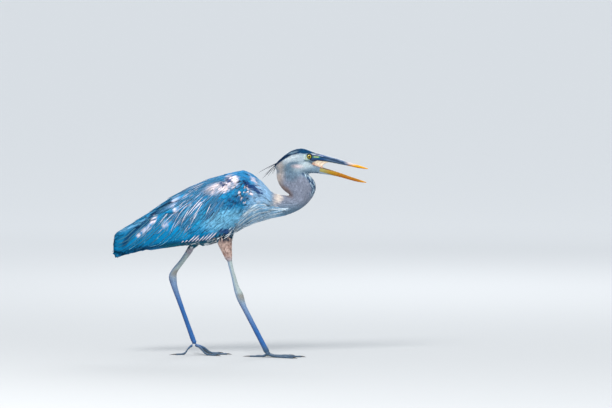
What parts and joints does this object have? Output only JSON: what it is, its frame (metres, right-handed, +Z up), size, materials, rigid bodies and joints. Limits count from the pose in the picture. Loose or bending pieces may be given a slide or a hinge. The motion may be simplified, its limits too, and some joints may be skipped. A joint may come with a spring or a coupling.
{
  "type": "great blue heron, still life-size model",
  "caption": "Great blue heron in mid step, neck folded back in an S, bill open, wings closed and loose plumes on breast, back and nape.",
  "frame": {"origin": "on the floor under the middle of the bird's bounding box", "axes": "+X the way it faces, bill tip foremost; +Y its left side; +Z up"},
  "size_m": [0.704, 0.1764, 0.5736],
  "materials": {
    "back_feathers": "matte",
    "quill_feathers": "matte",
    "flank_feathers": "matte",
    "neck_feathers": "matte",
    "head_feathers": "matte",
    "cap_feathers": "matte",
    "breast_feathers": "matte",
    "thigh_feathers": "matte",
    "shank_skin": "satin",
    "tarsus_skin": "satin",
    "upper_bill_horn": "satin",
    "lower_bill_horn": "satin",
    "mouth_lining": "satin",
    "eye": "wet gloss",
    "claw_horn": "satin"
  },
  "bodies": {
    "root": {"head": "head_feathers", "eye_right": "eye", "eye_left": "eye", "bill_upper": "upper_bill_horn", "bill_lower": "lower_bill_horn", "tongue": "mouth_lining", "crest_plume_right": "cap_feathers", "crest_plume_left": "cap_feathers", "neck_upper": "neck_feathers", "neck_middle": "neck_feathers", "neck_lower": "neck_feathers", "trunk": "flank_feathers", "breast_plumes": "breast_feathers", "wing_coverts_right": "back_feathers", "wing_coverts_left": "back_feathers", "wing_quills_right": "quill_feathers", "wing_quills_left": "quill_feathers", "tail": "quill_feathers", "thigh_right": "thigh_feathers", "thigh_left": "thigh_feathers", "shank_right": "shank_skin", "shank_left": "shank_skin", "tarsus_right": "tarsus_skin", "tarsus_left": "tarsus_skin", "toe_middle_right": "tarsus_skin", "toe_inner_right": "tarsus_skin", "toe_outer_right": "tarsus_skin", "toe_hind_right": "tarsus_skin", "toe_middle_left": "tarsus_skin", "toe_inner_left": "tarsus_skin", "toe_outer_left": "tarsus_skin", "toe_hind_left": "tarsus_skin", "claw_middle_right": "claw_horn", "claw_inner_right": "claw_horn", "claw_outer_right": "claw_horn", "claw_hind_right": "claw_horn", "claw_middle_left": "claw_horn", "claw_inner_left": "claw_horn", "claw_outer_left": "claw_horn", "claw_hind_left": "claw_horn"}
  },
  "joints": []
}
